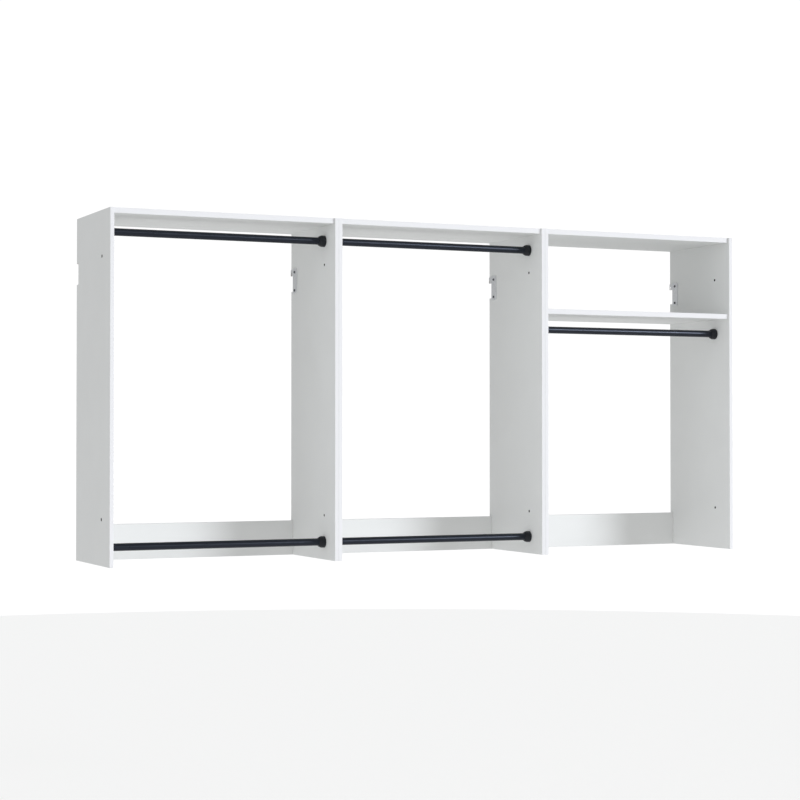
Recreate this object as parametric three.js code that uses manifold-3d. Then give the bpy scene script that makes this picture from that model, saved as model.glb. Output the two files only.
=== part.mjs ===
// Wall hung closet system: three open units of white melamine board, side by side on one wall.
// Each unit has two side panels, a top shelf, a low back rail and round hanging rods in closed
// cups. A zinc plated hook bracket stands beside the notch at the back of every side panel and
// hangs the unit on a rail that is fixed to the wall.
//
// Millimetres. X runs along the wall to the right, +Y points into the wall, +Z is up.
// The wall is the plane Y = 0. The origin is the middle of the centre unit's back rail,
// on the face that bears on the wall.

import * as THREE from 'three';
import { mergeVertices } from 'three/addons/utils/BufferGeometryUtils.js';
import Module from 'manifold-3d';

const wasm = await Module();
wasm.setup();

// Driving sizes of the system, and the kinds of unit that share its width, from left to right
const systemWidth = 2370;
const systemHeight = 1150;
const systemDepth = 400;
const unitKinds = ['doubleHang', 'doubleHang', 'shelvedHang'];

// Boards
const sideThickness = 13;
const shelfThickness = 18;
const shelfSetback = 8;
const lowerShelfDrop = 282;
const railHeight = 120;
const railThickness = 18;
const edgeRadius = 1;

// Clearances: what stands still, what turns, and how far a cut runs past its face
const fitGap = 0.3;
const rodClearance = 0.3;
const rodEndPlay = 0.6;
const overrun = 2;

// Hanging rods
const rodDiameter = 25;
const rodWall = 1.2;
const rodFromFront = 95;
const rodBelowShelf = 52;
const lowRodHeight = 60;

// Rod cups, each a moulded socket: a straight band at its seat, a domed nose down to a thin lip
// round the rod, and one screw through its floor. A nose roundness of 1 is a cone, 2 an ellipse.
const cupDepth = 22;
const cupBand = 10;
const cupFloor = 4.2;
const cupLip = 0.9;
const cupShoulder = 5.6;
const cupNoseRoundness = 1.33;
const cupMouthChamfer = 0.4;

// System holes through every side panel, on the line of the rods
const systemHoleDiameter = 7;
const systemHoleInset = 150;

// Notch for the wall rail in the back edge of every side panel
const notchDrop = 152;
const notchHeight = 70;
const notchDepth = 20;
const notchRadius = 3;

// Hook bracket beside the notch
const bracketThickness = 2.5;
const bracketWidth = 35;
const bracketTopLap = 11;
const bracketFootLap = 8;
const bracketRadius = 10;
const hookRise = 7;
const hookDrop = 16;
const hookWallGap = 0.5;
const hookNose = 3.8;
const hookSlot = 5;
const hookSlotHeight = 12;
const hookRadius = 1.6;
const bracketScrewSpacing = 64;

// Wood screws
const screwShank = 3.5;
const bracketScrewHead = 9;
const bracketScrewHeadHeight = 2.4;
const cupScrewHead = 7.6;
const cupScrewHeadHeight = 2.6;
const screwGrip = 9;
const screwPoint = 2.2;
const recessLength = 4.4;
const recessWidth = 1;
const recessDepth = 1.3;

// Wood dowels and cam fittings that hold each board end to its side panel
const dowelDiameter = 8;
const dowelReach = 8;
const dowelSocket = 9;
const dowelFromCam = 32;
const camDiameter = 15;
const camInset = 34;
const camFromEdge = 60;
const camSink = 0.6;
const camSlotLength = 9.2;
const camSlotWidth = 1.6;
const camSlotDepth = 1.6;

// Facets around each kind of round, and along a rounded corner of boards and brackets
const rodSides = 32;
const cupSides = 18;
const holeSides = 12;
const smallSides = 8;
const boardArcSteps = 1;
const bracketArcSteps = 2;

// Sizes and places that follow from the sizes above
const unitPitch = systemWidth / unitKinds.length;
const unitWidth = unitPitch - fitGap;
const innerHalf = unitWidth / 2 - sideThickness;
const boardLength = 2 * (innerHalf - fitGap);
const rodLineY = -systemDepth + rodFromFront;
const upperRodZ = systemHeight - shelfThickness - rodBelowShelf;
const lowerShelfTop = systemHeight - lowerShelfDrop;
const shelfRodZ = lowerShelfTop - shelfThickness - rodBelowShelf;
const notchTop = systemHeight - notchDrop;
const notchFoot = notchTop - notchHeight;
const notchMiddle = (notchTop + notchFoot) / 2;

// What each kind of unit holds between its side panels
const unitPlans = {
  doubleHang: {
    shelves: [{ name: 'top_shelf', top: systemHeight }],
    rods: [{ name: 'upper_rod', z: upperRodZ }, { name: 'lower_rod', z: lowRodHeight }],
  },
  shelvedHang: {
    shelves: [{ name: 'top_shelf', top: systemHeight }, { name: 'lower_shelf', top: lowerShelfTop }],
    rods: [{ name: 'rod', z: shelfRodZ }],
  },
};

// Finishes, as the photograph shows them
const melamine = { color: 0xf2f2f3, roughness: 0.42, metalness: 0 };
const blackSteel = { color: 0x2a2c35, roughness: 0.34, metalness: 0.35 };
const blackPlastic = { color: 0x1f2126, roughness: 0.45, metalness: 0 };
const zincPlate = { color: 0xb6b8ba, roughness: 0.38, metalness: 0.85 };
const darkScrew = { color: 0x6f7276, roughness: 0.4, metalness: 0.9 };

// Closed geometry to solid and back

function solidOf(geometry) {
  geometry.deleteAttribute('normal');
  geometry.deleteAttribute('uv');
  const welded = mergeVertices(geometry);
  const vertProperties = Float32Array.from(welded.attributes.position.array);
  const triVerts = Uint32Array.from(welded.index.array);
  return new wasm.Manifold(new wasm.Mesh({ numProp: 3, vertProperties, triVerts }));
}

function geometryOf(solid) {
  const mesh = solid.getMesh();
  const geometry = new THREE.BufferGeometry();
  geometry.setAttribute('position', new THREE.BufferAttribute(Float32Array.from(mesh.vertProperties), 3));
  geometry.setIndex(new THREE.BufferAttribute(Uint32Array.from(mesh.triVerts), 1));
  geometry.computeVertexNormals();
  return geometry;
}

function cutAll(body, cutters) {
  return cutters.reduce((left, cutter) => left.subtract(cutter), body);
}

function joinAll(body, additions) {
  return additions.reduce((whole, piece) => whole.add(piece), body);
}

// Outline through corners of the form [u, v, radius], with every rounded corner a true arc

function outline(corners) {
  const shape = new THREE.Shape();
  corners.forEach(([u, v, radius], index) => {
    const corner = new THREE.Vector2(u, v);
    const before = new THREE.Vector2(...corners.at(index - 1).slice(0, 2)).sub(corner).normalize();
    const after = new THREE.Vector2(...corners[(index + 1) % corners.length].slice(0, 2));
    after.sub(corner).normalize();
    const halfAngle = Math.acos(THREE.MathUtils.clamp(before.dot(after), -1, 1)) / 2;
    const start = corner.clone().addScaledVector(before, radius / Math.tan(halfAngle));
    if (index === 0) {
      shape.moveTo(start.x, start.y);
    } else {
      shape.lineTo(start.x, start.y);
    }
    if (radius > 0) {
      const inward = before.clone().add(after).normalize();
      const centre = corner.clone().addScaledVector(inward, radius / Math.sin(halfAngle));
      const end = corner.clone().addScaledVector(after, radius / Math.tan(halfAngle));
      const from = start.clone().sub(centre).angle();
      const to = end.clone().sub(centre).angle();
      shape.absarc(centre.x, centre.y, radius, from, to, before.cross(after) > 0);
    }
  });
  shape.closePath();
  return shape;
}

// An outline drawn in X and Y, raised along Z from low to high
function raisedAlongZ(corners, low, high, arcSteps) {
  const settings = { depth: high - low, bevelEnabled: false, curveSegments: arcSteps };
  return solidOf(new THREE.ExtrudeGeometry(outline(corners), settings).translate(0, 0, low));
}

// An outline drawn in Y and Z, run along X from left to right
function runAlongX(corners, left, right, arcSteps) {
  const settings = { depth: right - left, bevelEnabled: false, curveSegments: arcSteps };
  const geometry = new THREE.ExtrudeGeometry(outline(corners), settings).translate(0, 0, left);
  const yAxis = new THREE.Vector3(0, 1, 0);
  const zAxis = new THREE.Vector3(0, 0, 1);
  const xAxis = new THREE.Vector3(1, 0, 0);
  return solidOf(geometry.applyMatrix4(new THREE.Matrix4().makeBasis(yAxis, zAxis, xAxis)));
}

function rectangle(u0, u1, v0, v1, radius) {
  return [[u0, v0, radius], [u1, v0, radius], [u1, v1, radius], [u0, v1, radius]];
}

function block(sizeX, sizeY, sizeZ, x, y, z) {
  return solidOf(new THREE.BoxGeometry(sizeX, sizeY, sizeZ).translate(x, y, z));
}

// Round bar from one end to the other, each end given as a point
function roundBar(radius, from, to, sides) {
  const start = new THREE.Vector3(...from);
  const run = new THREE.Vector3(...to).sub(start);
  const geometry = new THREE.CylinderGeometry(radius, radius, run.length(), sides);
  const turn = new THREE.Quaternion().setFromUnitVectors(
    new THREE.Vector3(0, 1, 0),
    run.clone().normalize(),
  );
  const middle = start.addScaledVector(run, 1 / 2);
  return solidOf(geometry.applyQuaternion(turn).translate(middle.x, middle.y, middle.z));
}

// Profile of [radius, distance along X] points, turned about the X axis
function turnedAboutX(profile, sides) {
  const points = profile.map(([radius, along]) => new THREE.Vector2(radius, along));
  return solidOf(new THREE.LatheGeometry(points, sides).rotateZ(-Math.PI / 2));
}

// Places across the depth of a shelf where a cam and its dowel stand, front pair then back pair
function shelfCamPlaces() {
  const front = -systemDepth + shelfSetback + camFromEdge;
  const back = -camFromEdge;
  return [
    { camY: front, dowelY: front + dowelFromCam },
    { camY: back, dowelY: back - dowelFromCam },
  ];
}

function dowelPoints(plan) {
  const onShelves = plan.shelves.flatMap(({ top }) => shelfCamPlaces().map(({ dowelY }) => ({
    y: dowelY,
    z: top - shelfThickness / 2,
  })));
  const onRail = [-dowelFromCam, dowelFromCam].map((offset) => ({
    y: -railThickness / 2,
    z: railHeight / 2 + offset,
  }));
  return [...onShelves, ...onRail];
}

// Side panel; hand is -1 for the left panel of a unit and 1 for the right one

function sidePanel(plan, hand) {
  const inner = hand * innerHalf;
  const outer = hand * (innerHalf + sideThickness);
  const frontY = -systemDepth;
  const section = [
    [Math.min(inner, outer), 0, 0],
    [Math.min(inner, outer), frontY, edgeRadius],
    [Math.max(inner, outer), frontY, edgeRadius],
    [Math.max(inner, outer), 0, 0],
  ];
  const board = raisedAlongZ(section, 0, systemHeight, boardArcSteps);

  const notchCorners = [
    [overrun, notchFoot, 0],
    [-notchDepth, notchFoot, notchRadius],
    [-notchDepth, notchTop, notchRadius],
    [overrun, notchTop, 0],
  ];
  const cutLeft = Math.min(inner, outer) - overrun;
  const cutRight = Math.max(inner, outer) + overrun;
  const notch = runAlongX(notchCorners, cutLeft, cutRight, boardArcSteps);

  const systemHoles = [systemHoleInset, systemHeight - systemHoleInset].map((z) => (
    roundBar(systemHoleDiameter / 2, [cutLeft, rodLineY, z], [cutRight, rodLineY, z], holeSides)));

  const blindHole = (radius, depth, y, z) => roundBar(
    radius,
    [inner - hand * overrun, y, z],
    [inner + hand * depth, y, z],
    smallSides,
  );
  const dowelHoles = dowelPoints(plan).map(({ y, z }) => (
    blindHole(dowelDiameter / 2 + fitGap, dowelSocket, y, z)));
  const pilotRadius = screwShank / 2 + fitGap;
  const pilotDepth = screwGrip + fitGap;
  const cupPilots = plan.rods.map(({ z }) => (
    blindHole(pilotRadius, pilotDepth, rodLineY, z)));
  const bracketPilots = bracketScrewPlaces().map(({ y, z }) => (
    blindHole(pilotRadius, pilotDepth, y, z)));

  return cutAll(board, [notch, ...systemHoles, ...dowelHoles, ...cupPilots, ...bracketPilots]);
}

// Recess that shows as a sunk cam: a shallow round with a crossed slot for the screwdriver.
// The axis 'z' opens it in a top face at the height given, the axis 'y' in a rear face.

function camRecess(axis, x, y, z) {
  const out = axis === 'z' ? [0, 0, 1] : [0, 1, 0];
  const at = (depth) => [x + depth * out[0], y + depth * out[1], z + depth * out[2]];
  const round = roundBar(camDiameter / 2, at(-camSink), at(overrun), holeSides);
  const slotSizes = [[camSlotLength, camSlotWidth], [camSlotWidth, camSlotLength]];
  const high = camSlotDepth + overrun;
  const middle = at(-camSink - camSlotDepth + high / 2);
  const slots = slotSizes.map(([across, along]) => (axis === 'z'
    ? block(across, along, high, ...middle)
    : block(across, high, along, ...middle)));
  return joinAll(round, slots);
}

function boardDowels(points) {
  return points.flatMap(({ y, z }) => [-1, 1].map((hand) => roundBar(
    dowelDiameter / 2,
    [hand * (boardLength / 2 - overrun), y, z],
    [hand * (innerHalf + dowelReach), y, z],
    smallSides,
  )));
}

// Shelf with its banded front edge, two dowels and two cams at each end

function shelfBoard(top) {
  const section = [
    [0, top - shelfThickness, 0],
    [-systemDepth + shelfSetback, top - shelfThickness, edgeRadius],
    [-systemDepth + shelfSetback, top, edgeRadius],
    [0, top, 0],
  ];
  const board = runAlongX(section, -boardLength / 2, boardLength / 2, boardArcSteps);
  const dowels = boardDowels(shelfCamPlaces().map(({ dowelY }) => ({
    y: dowelY,
    z: top - shelfThickness / 2,
  })));
  const cams = shelfCamPlaces().flatMap(({ camY }) => [-1, 1].map((hand) => (
    camRecess('z', hand * (boardLength / 2 - camInset), camY, top))));
  return cutAll(joinAll(board, dowels), cams);
}

// Back rail between the side panels, at the foot of the unit, flush with the back edges

function backRail() {
  const section = rectangle(-railThickness, 0, 0, railHeight, edgeRadius);
  const board = runAlongX(section, -boardLength / 2, boardLength / 2, boardArcSteps);
  const dowels = boardDowels([-dowelFromCam, dowelFromCam].map((offset) => ({
    y: -railThickness / 2,
    z: railHeight / 2 + offset,
  })));
  const cams = [-1, 1].map((hand) => (
    camRecess('y', hand * (boardLength / 2 - camInset), 0, railHeight / 2)));
  return cutAll(joinAll(board, dowels), cams);
}

// Hanging rod, a steel tube that lies in its two cups

function hangingRod() {
  const half = innerHalf - fitGap - cupFloor - rodEndPlay;
  const outside = rodDiameter / 2;
  const inside = outside - rodWall;
  return turnedAboutX([
    [inside, -half],
    [outside, -half],
    [outside, half],
    [inside, half],
    [inside, -half],
  ], rodSides);
}

// Rod cup, drawn from its seat on the panel towards the middle of the unit. Its bore is widened
// so that the flats between the facets clear the rod.

function rodCup() {
  const bore = (rodDiameter / 2 + rodClearance) / Math.cos(Math.PI / cupSides);
  const mouth = bore + cupLip;
  const rim = mouth + cupShoulder;
  const hole = screwShank / 2 + fitGap;
  const headSeat = cupScrewHead / 2 + fitGap;
  const noseShares = [0.3, 0.6, 0.85];
  const nose = noseShares.map((share) => [
    mouth + cupShoulder * (1 - share ** cupNoseRoundness) ** (1 / cupNoseRoundness),
    cupBand + (cupDepth - cupBand) * share,
  ]);
  return turnedAboutX([
    [hole, 0],
    [rim, 0],
    [rim, cupBand],
    ...nose,
    [mouth, cupDepth],
    [bore + cupMouthChamfer, cupDepth],
    [bore, cupDepth - cupMouthChamfer],
    [bore, cupFloor],
    [headSeat, cupFloor],
    [hole, cupFloor - cupScrewHeadHeight],
    [hole, 0],
  ], cupSides);
}

// Wood screw along X: the seat under its head is at zero, its point lies on the minus side

function woodScrew(headProfile, gripBelow) {
  const shank = screwShank / 2;
  return turnedAboutX([
    [0, -gripBelow],
    [shank, -gripBelow + screwPoint],
    ...headProfile,
  ], smallSides);
}

function bracketScrew() {
  const head = bracketScrewHead / 2;
  const profile = [
    [screwShank / 2, 0],
    [head, 0],
    [head, bracketScrewHeadHeight / 2],
    [head / 2, bracketScrewHeadHeight],
    [0, bracketScrewHeadHeight],
  ];
  const arms = [[recessLength, recessWidth], [recessWidth, recessLength]];
  const recess = arms.map(([wide, high]) => (
    block(2 * recessDepth, wide, high, bracketScrewHeadHeight, 0, 0)));
  return cutAll(woodScrew(profile, bracketThickness + screwGrip), recess);
}

function cupScrew() {
  const head = cupScrewHead / 2;
  const profile = [
    [screwShank / 2, -cupScrewHeadHeight],
    [head, 0],
    [0, 0],
  ];
  return woodScrew(profile, cupFloor + screwGrip);
}

// Hook bracket: a strip beside the notch with a tab at its top that reaches back to the wall.
// A slot in the tab drops over the lip of the wall rail.

function bracketScrewPlaces() {
  const y = -notchDepth - bracketWidth / 2;
  return [
    { name: 'upper', y, z: notchMiddle + bracketScrewSpacing / 2 },
    { name: 'lower', y, z: notchMiddle - bracketScrewSpacing / 2 },
  ];
}

function hookBracket() {
  const rear = -notchDepth;
  const front = rear - bracketWidth;
  const top = notchTop + bracketTopLap;
  const foot = notchFoot - bracketFootLap;
  const hookTop = notchTop + hookRise;
  const hookFoot = notchTop - hookDrop;
  const noseBack = -hookWallGap;
  const noseFront = noseBack - hookNose;
  const slotFront = noseFront - hookSlot;
  const slotTop = hookFoot + hookSlotHeight;
  const corners = [
    [rear, foot, 0],
    [rear, hookFoot, 0],
    [slotFront, hookFoot, 0],
    [slotFront, slotTop, 0],
    [noseFront, slotTop, 0],
    [noseFront, hookFoot, hookRadius],
    [noseBack, hookFoot, hookRadius],
    [noseBack, hookTop, hookRadius],
    [rear, hookTop, 0],
    [rear, top, 0],
    [front, top, bracketRadius],
    [front, foot, bracketRadius],
  ];
  const plate = runAlongX(corners, 0, bracketThickness, bracketArcSteps);
  const holes = bracketScrewPlaces().map(({ y, z }) => roundBar(
    screwShank / 2 + fitGap,
    [-overrun, y, z],
    [bracketThickness + overrun, y, z],
    smallSides,
  ));
  return cutAll(plate, holes);
}

// Assembly

function placed(name, solid, finish, position, turn) {
  const mesh = new THREE.Mesh(geometryOf(solid), new THREE.MeshStandardMaterial(finish));
  mesh.name = name;
  mesh.position.set(...position);
  mesh.rotation.z = turn;
  return mesh;
}

function buildUnit(plan, number) {
  const unit = new THREE.Group();
  const prefix = `unit_${number}`;
  const sides = [{ name: 'left', hand: -1, turn: 0 }, { name: 'right', hand: 1, turn: Math.PI }];

  sides.forEach(({ name, hand }) => {
    unit.add(placed(`${prefix}_${name}_panel`, sidePanel(plan, hand), melamine, [0, 0, 0], 0));
  });
  plan.shelves.forEach(({ name, top }) => {
    unit.add(placed(`${prefix}_${name}`, shelfBoard(top), melamine, [0, 0, 0], 0));
  });
  unit.add(placed(`${prefix}_back_rail`, backRail(), melamine, [0, 0, 0], 0));

  plan.rods.forEach(({ name, z }) => {
    unit.add(placed(`${prefix}_${name}`, hangingRod(), blackSteel, [0, rodLineY, z], 0));
    sides.forEach((side) => {
      const label = `${prefix}_${name}_${side.name}`;
      const seatX = side.hand * (innerHalf - fitGap);
      const headX = seatX - side.hand * (cupFloor - fitGap / 2);
      unit.add(placed(`${label}_cup`, rodCup(), blackPlastic, [seatX, rodLineY, z], side.turn));
      unit.add(placed(`${label}_cup_screw`, cupScrew(), darkScrew, [headX, rodLineY, z], side.turn));
    });
  });

  sides.forEach((side) => {
    const seatX = side.hand * (innerHalf - fitGap);
    const plateX = side.hand > 0 ? seatX - bracketThickness : seatX;
    const headX = seatX - side.hand * (bracketThickness + fitGap);
    const label = `${prefix}_${side.name}_bracket`;
    unit.add(placed(label, hookBracket(), zincPlate, [plateX, 0, 0], 0));
    bracketScrewPlaces().forEach(({ name, y, z }) => {
      unit.add(placed(`${label}_${name}_screw`, bracketScrew(), darkScrew, [headX, y, z], side.turn));
    });
  });
  return unit;
}

const closetSystem = new THREE.Group();
closetSystem.name = 'closet_system';
unitKinds.forEach((kind, index) => {
  const unit = buildUnit(unitPlans[kind], index + 1);
  unit.position.set((index - (unitKinds.length - 1) / 2) * unitPitch, 0, -railHeight / 2);
  closetSystem.add(unit);
});

export default closetSystem;
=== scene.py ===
"""Studio scene of a wall hung closet system of white melamine board.

Three open units hang side by side on one wall. Every board, rod, cup, bracket and screw is a piece
of its own, placed by the boxes of the solid model and dressed with the finish of the real one.
Lengths are metres, in the frame of the solids: X along the wall, +Y into the wall, +Z up.
"""

import logging
import math
from collections.abc import Callable, Sequence
from dataclasses import dataclass
from enum import Enum
from functools import cache

import bmesh
import bpy
from bmesh.types import BMEdge, BMesh, BMVert
from bpy.types import Material, Node, NodeSocket, NodeTree, Object
from mathutils import Matrix, Vector


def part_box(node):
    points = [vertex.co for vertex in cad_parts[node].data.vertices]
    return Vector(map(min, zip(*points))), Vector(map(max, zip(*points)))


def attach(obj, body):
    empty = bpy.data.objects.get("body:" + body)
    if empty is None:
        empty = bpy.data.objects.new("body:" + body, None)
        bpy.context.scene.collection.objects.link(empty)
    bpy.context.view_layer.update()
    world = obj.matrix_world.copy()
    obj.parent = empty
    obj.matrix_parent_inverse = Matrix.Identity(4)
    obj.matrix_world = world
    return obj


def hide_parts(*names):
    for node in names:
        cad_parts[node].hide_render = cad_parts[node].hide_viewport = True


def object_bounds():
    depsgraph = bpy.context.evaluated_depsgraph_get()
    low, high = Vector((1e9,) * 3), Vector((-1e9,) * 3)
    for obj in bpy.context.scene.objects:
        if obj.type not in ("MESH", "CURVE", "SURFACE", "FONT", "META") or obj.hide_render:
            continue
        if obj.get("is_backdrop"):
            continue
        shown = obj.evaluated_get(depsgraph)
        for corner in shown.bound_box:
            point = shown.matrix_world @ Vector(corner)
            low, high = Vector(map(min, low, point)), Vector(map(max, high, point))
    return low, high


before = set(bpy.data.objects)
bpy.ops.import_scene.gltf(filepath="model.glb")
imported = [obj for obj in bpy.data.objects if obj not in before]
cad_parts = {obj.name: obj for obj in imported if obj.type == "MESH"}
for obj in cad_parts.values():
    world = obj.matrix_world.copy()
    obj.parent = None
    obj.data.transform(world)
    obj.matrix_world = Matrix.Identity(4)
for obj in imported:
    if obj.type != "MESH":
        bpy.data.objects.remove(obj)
CAD_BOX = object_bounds()

LOG = logging.getLogger("closet")
MM = 0.001

# Clearance between pieces that stand still against each other
FIT_GAP = 0.3 * MM

# Points of a mesh that are closer than this become one
WELD = 0.001 * MM

# Facets of rounds, by how large they show
FINE_ROUND = 96
HOLE_ROUND = 32
SMALL_ROUND = 24

# Edges that turn by more than the first angle are arrises, and by more than the second stay crisp
ARRIS_ANGLE = math.radians(30)
CRISP_ANGLE = math.radians(50)

X, Y, Z = Vector((1, 0, 0)), Vector((0, 1, 0)), Vector((0, 0, 1))


# Materials

# Numbers of the colour inputs and output of a Mix node
MIX_SHARE, MIX_FIRST, MIX_SECOND, MIX_RESULT = 0, 6, 7, 2

# Finer layers that a noise adds to its broadest one
NO_LAYER, ONE_LAYER, TWO_LAYERS = 0.0, 1.0, 2.0


def linear_colour(code: str) -> tuple[float, float, float, float]:
    """Turn an sRGB colour into Blender's linear values, by the curve of the sRGB standard.

    Args:
        code: the colour as "#rrggbb".

    Returns:
        Linear red, green and blue, and an alpha of one.
    """
    shares = [int(code[start:start + 2], 16) / 255 for start in (1, 3, 5)]
    linear = [share / 12.92 if share <= 0.04045 else ((share + 0.055) / 1.055) ** 2.4
              for share in shares]
    return (*linear, 1.0)


def per_metre(millimetres: float) -> float:
    """Return the texture scale whose features are the given number of millimetres across."""
    return 1 / MM / millimetres


def add_node(
    tree: NodeTree,
    kind: str,
    settings: dict[str, object] | None = None,
    inputs: dict[str | int, object] | None = None,
) -> Node:
    """Add a node with its settings, values and links.

    Args:
        tree: the node tree that takes the node.
        kind: Blender's type name of the node.
        settings: the node's own properties, by name.
        inputs: a value, or a socket to link, for each input, by name or number.

    Returns:
        The new node.
    """
    node = tree.nodes.new(kind)
    for name, value in (settings or {}).items():
        setattr(node, name, value)
    for name, value in (inputs or {}).items():
        socket = node.inputs[name]
        if isinstance(value, NodeSocket):
            tree.links.new(value, socket)
        else:
            socket.default_value = value
    return node


# Blender's type names of the two textures, and the numbers of their outputs: a noise's height or
# the distance from a cell's middle, and a colour that differs from cell to cell
NOISE, CELLS = "ShaderNodeTexNoise", "ShaderNodeTexVoronoi"
VALUE, COLOUR = 0, 1


@dataclass(frozen=True)
class Pattern:
    """Texture in object coordinates, with the output that drives each quality of a finish.

    Its size is that of its features in millimetres, and its length how long they are along X where
    that differs.
    """

    kind: str
    size_mm: float
    layers: float | None = None
    feature: str | None = None
    length_mm: float | None = None
    tone: int | None = None
    gloss: int | None = None
    relief: int | None = None

    def add(self, tree: NodeTree, place: NodeSocket) -> Node:
        """Add the texture to a material.

        Args:
            tree: the material's node tree.
            place: the object coordinates.

        Returns:
            The texture's node.
        """
        if self.length_mm is not None:
            drawn = add_node(tree, "ShaderNodeMapping", inputs={
                "Vector": place, "Scale": (self.size_mm / self.length_mm, 1.0, 1.0)})
            place = drawn.outputs[0]
        settings = {} if self.feature is None else {"feature": self.feature}
        inputs = {"Vector": place, "Scale": per_metre(self.size_mm)}
        if self.layers is not None:
            inputs["Detail"] = self.layers
        return add_node(tree, self.kind, settings, inputs)


@dataclass(frozen=True)
class Finish:
    """Base of every finish: two tones, a spread of gloss and a relief, each driven by a pattern."""

    name: str = "finish"
    colour: str = "#808080"
    shade: str = "#808080"
    roughness: float = 0.5
    glossier: float = 0.05
    duller: float = 0.05
    relief_mm: float = 0.05
    relief_strength: float = 0.3
    metallic: float = 0.0
    specular: float = 0.5
    specular_tint: str = "#FFFFFF"
    slot: str = "white_melamine"

    def patterns(self) -> list[Pattern]:
        """Return the finish's own patterns."""
        raise NotImplementedError

    def make(self) -> Material:
        """Build the material.

        Returns:
            The material, with its patterns.
        """
        material = bpy.data.materials.new(self.name)
        material.use_nodes = True
        tree = material.node_tree
        sockets = tree.nodes["Principled BSDF"].inputs
        constants = {
            "Base Color": linear_colour(self.colour),
            "Roughness": self.roughness,
            "Metallic": self.metallic,
            "Specular IOR Level": self.specular,
            "Specular Tint": linear_colour(self.specular_tint),
        }
        for name, value in constants.items():
            sockets[name].default_value = value
        place = add_node(tree, "ShaderNodeTexCoord").outputs["Object"]
        for pattern in self.patterns():
            outputs = pattern.add(tree, place).outputs
            if pattern.tone is not None:
                self.mix_tones(tree, sockets["Base Color"], outputs[pattern.tone])
            if pattern.gloss is not None:
                spread = add_node(tree, "ShaderNodeMapRange", inputs={
                    "Value": outputs[pattern.gloss],
                    "To Min": self.roughness - self.glossier,
                    "To Max": self.roughness + self.duller})
                tree.links.new(spread.outputs[0], sockets["Roughness"])
            if pattern.relief is not None:
                raised = add_node(tree, "ShaderNodeBump", inputs={
                    "Height": outputs[pattern.relief],
                    "Strength": self.relief_strength,
                    "Distance": self.relief_mm * MM})
                tree.links.new(raised.outputs[0], sockets["Normal"])
        return material

    def mix_tones(self, tree: NodeTree, target: NodeSocket, share: NodeSocket) -> None:
        """Mix the colour with the shade.

        Args:
            tree: the material's node tree.
            target: the shader's colour.
            share: output that gives the share of the shade: a value, or a colour for its red.
        """
        if share.type == "RGBA":
            share = add_node(tree, "ShaderNodeSeparateColor", inputs={"Color": share}).outputs[0]
        mixed = add_node(tree, "ShaderNodeMix", {"data_type": "RGBA"}, {
            MIX_SHARE: share,
            MIX_FIRST: linear_colour(self.colour),
            MIX_SECOND: linear_colour(self.shade)})
        tree.links.new(mixed.outputs[MIX_RESULT], target)


@dataclass(frozen=True)
class MelamineFace(Finish):
    """White melamine face of particle board.

    Resin paper pressed against an etched steel plate: an even white with a faint pearl grain that
    breaks up the gloss, so the eye sees soft, wide reflections. The grain is about 0.5 mm on the
    board and is drawn at 2 mm, the finest that shows at this distance.
    """

    name: str = "melamine_face"
    colour: str = "#F1F2F1"
    shade: str = "#ECEDEC"
    roughness: float = 0.58
    relief_strength: float = 0.12
    grain_mm: float = 2.0
    mottle_mm: float = 140.0

    def patterns(self) -> list[Pattern]:
        """Return the face's broad mottle and its pressed grain."""
        return [Pattern(NOISE, self.mottle_mm, TWO_LAYERS, tone=VALUE),
                Pattern(NOISE, self.grain_mm, ONE_LAYER, gloss=VALUE, relief=VALUE)]


@dataclass(frozen=True)
class EdgeBand(Finish):
    """White edge band, a strip of ABS 1 mm thick, glued on and scraped round.

    It is moulded plastic, a touch whiter and glossier than the face, with faint scraper ripples
    along its length.
    """

    name: str = "abs_edge_band"
    colour: str = "#F3F3F5"
    glossier: float = 0.04
    duller: float = 0.04
    relief_mm: float = 0.04
    relief_strength: float = 0.08
    specular: float = 0.3
    ripple_mm: float = 3.0

    def patterns(self) -> list[Pattern]:
        """Return the band's scraper ripples."""
        return [Pattern(NOISE, self.ripple_mm, NO_LAYER, gloss=VALUE, relief=VALUE)]


@dataclass(frozen=True)
class ParticleCore(Finish):
    """Raw particle board where a hole or a notch is cut.

    Pressed chips of wood from 1 to 4 mm in resin: a rough, matt surface in mixed browns with small
    open pits between the chips.
    """

    name: str = "raw_particle_board"
    colour: str = "#B08D63"
    shade: str = "#7C5C3C"
    roughness: float = 0.85
    relief_mm: float = 0.4
    relief_strength: float = 0.6
    chip_mm: float = 2.6

    def patterns(self) -> list[Pattern]:
        """Return the chips, with the pits between them."""
        return [Pattern(CELLS, self.chip_mm, tone=COLOUR, relief=VALUE)]


@dataclass(frozen=True)
class BoreWall(ParticleCore):
    """Drilled hole in the board: torn chips in near-black painted shade, for the shade in the hole.

    The hole takes no light from in front, so the eye sees a small, almost black round.
    """

    name: str = "drilled_particle_board"
    colour: str = "#1F1812"
    shade: str = "#14100C"


@dataclass(frozen=True)
class PowderCoat(Finish):
    """Satin black powder coat, baked on drawn steel tube.

    A thick sprayed skin with a faint blue cast. Its orange peel, soft dimples about 1.5 mm across,
    spreads the light of a window into a long soft streak.
    """

    name: str = "black_powder_coat"
    colour: str = "#0E1015"
    roughness: float = 0.29
    duller: float = 0.06
    relief_mm: float = 0.06
    relief_strength: float = 0.25
    specular: float = 0.48
    specular_tint: str = "#D9E5FF"
    slot: str = "black_steel"
    peel_mm: float = 1.6
    cloud_mm: float = 45.0

    def patterns(self) -> list[Pattern]:
        """Return the coat's orange peel and the clouds of its gloss."""
        return [Pattern(NOISE, self.peel_mm, ONE_LAYER, relief=VALUE),
                Pattern(NOISE, self.cloud_mm, TWO_LAYERS, gloss=VALUE)]


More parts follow.
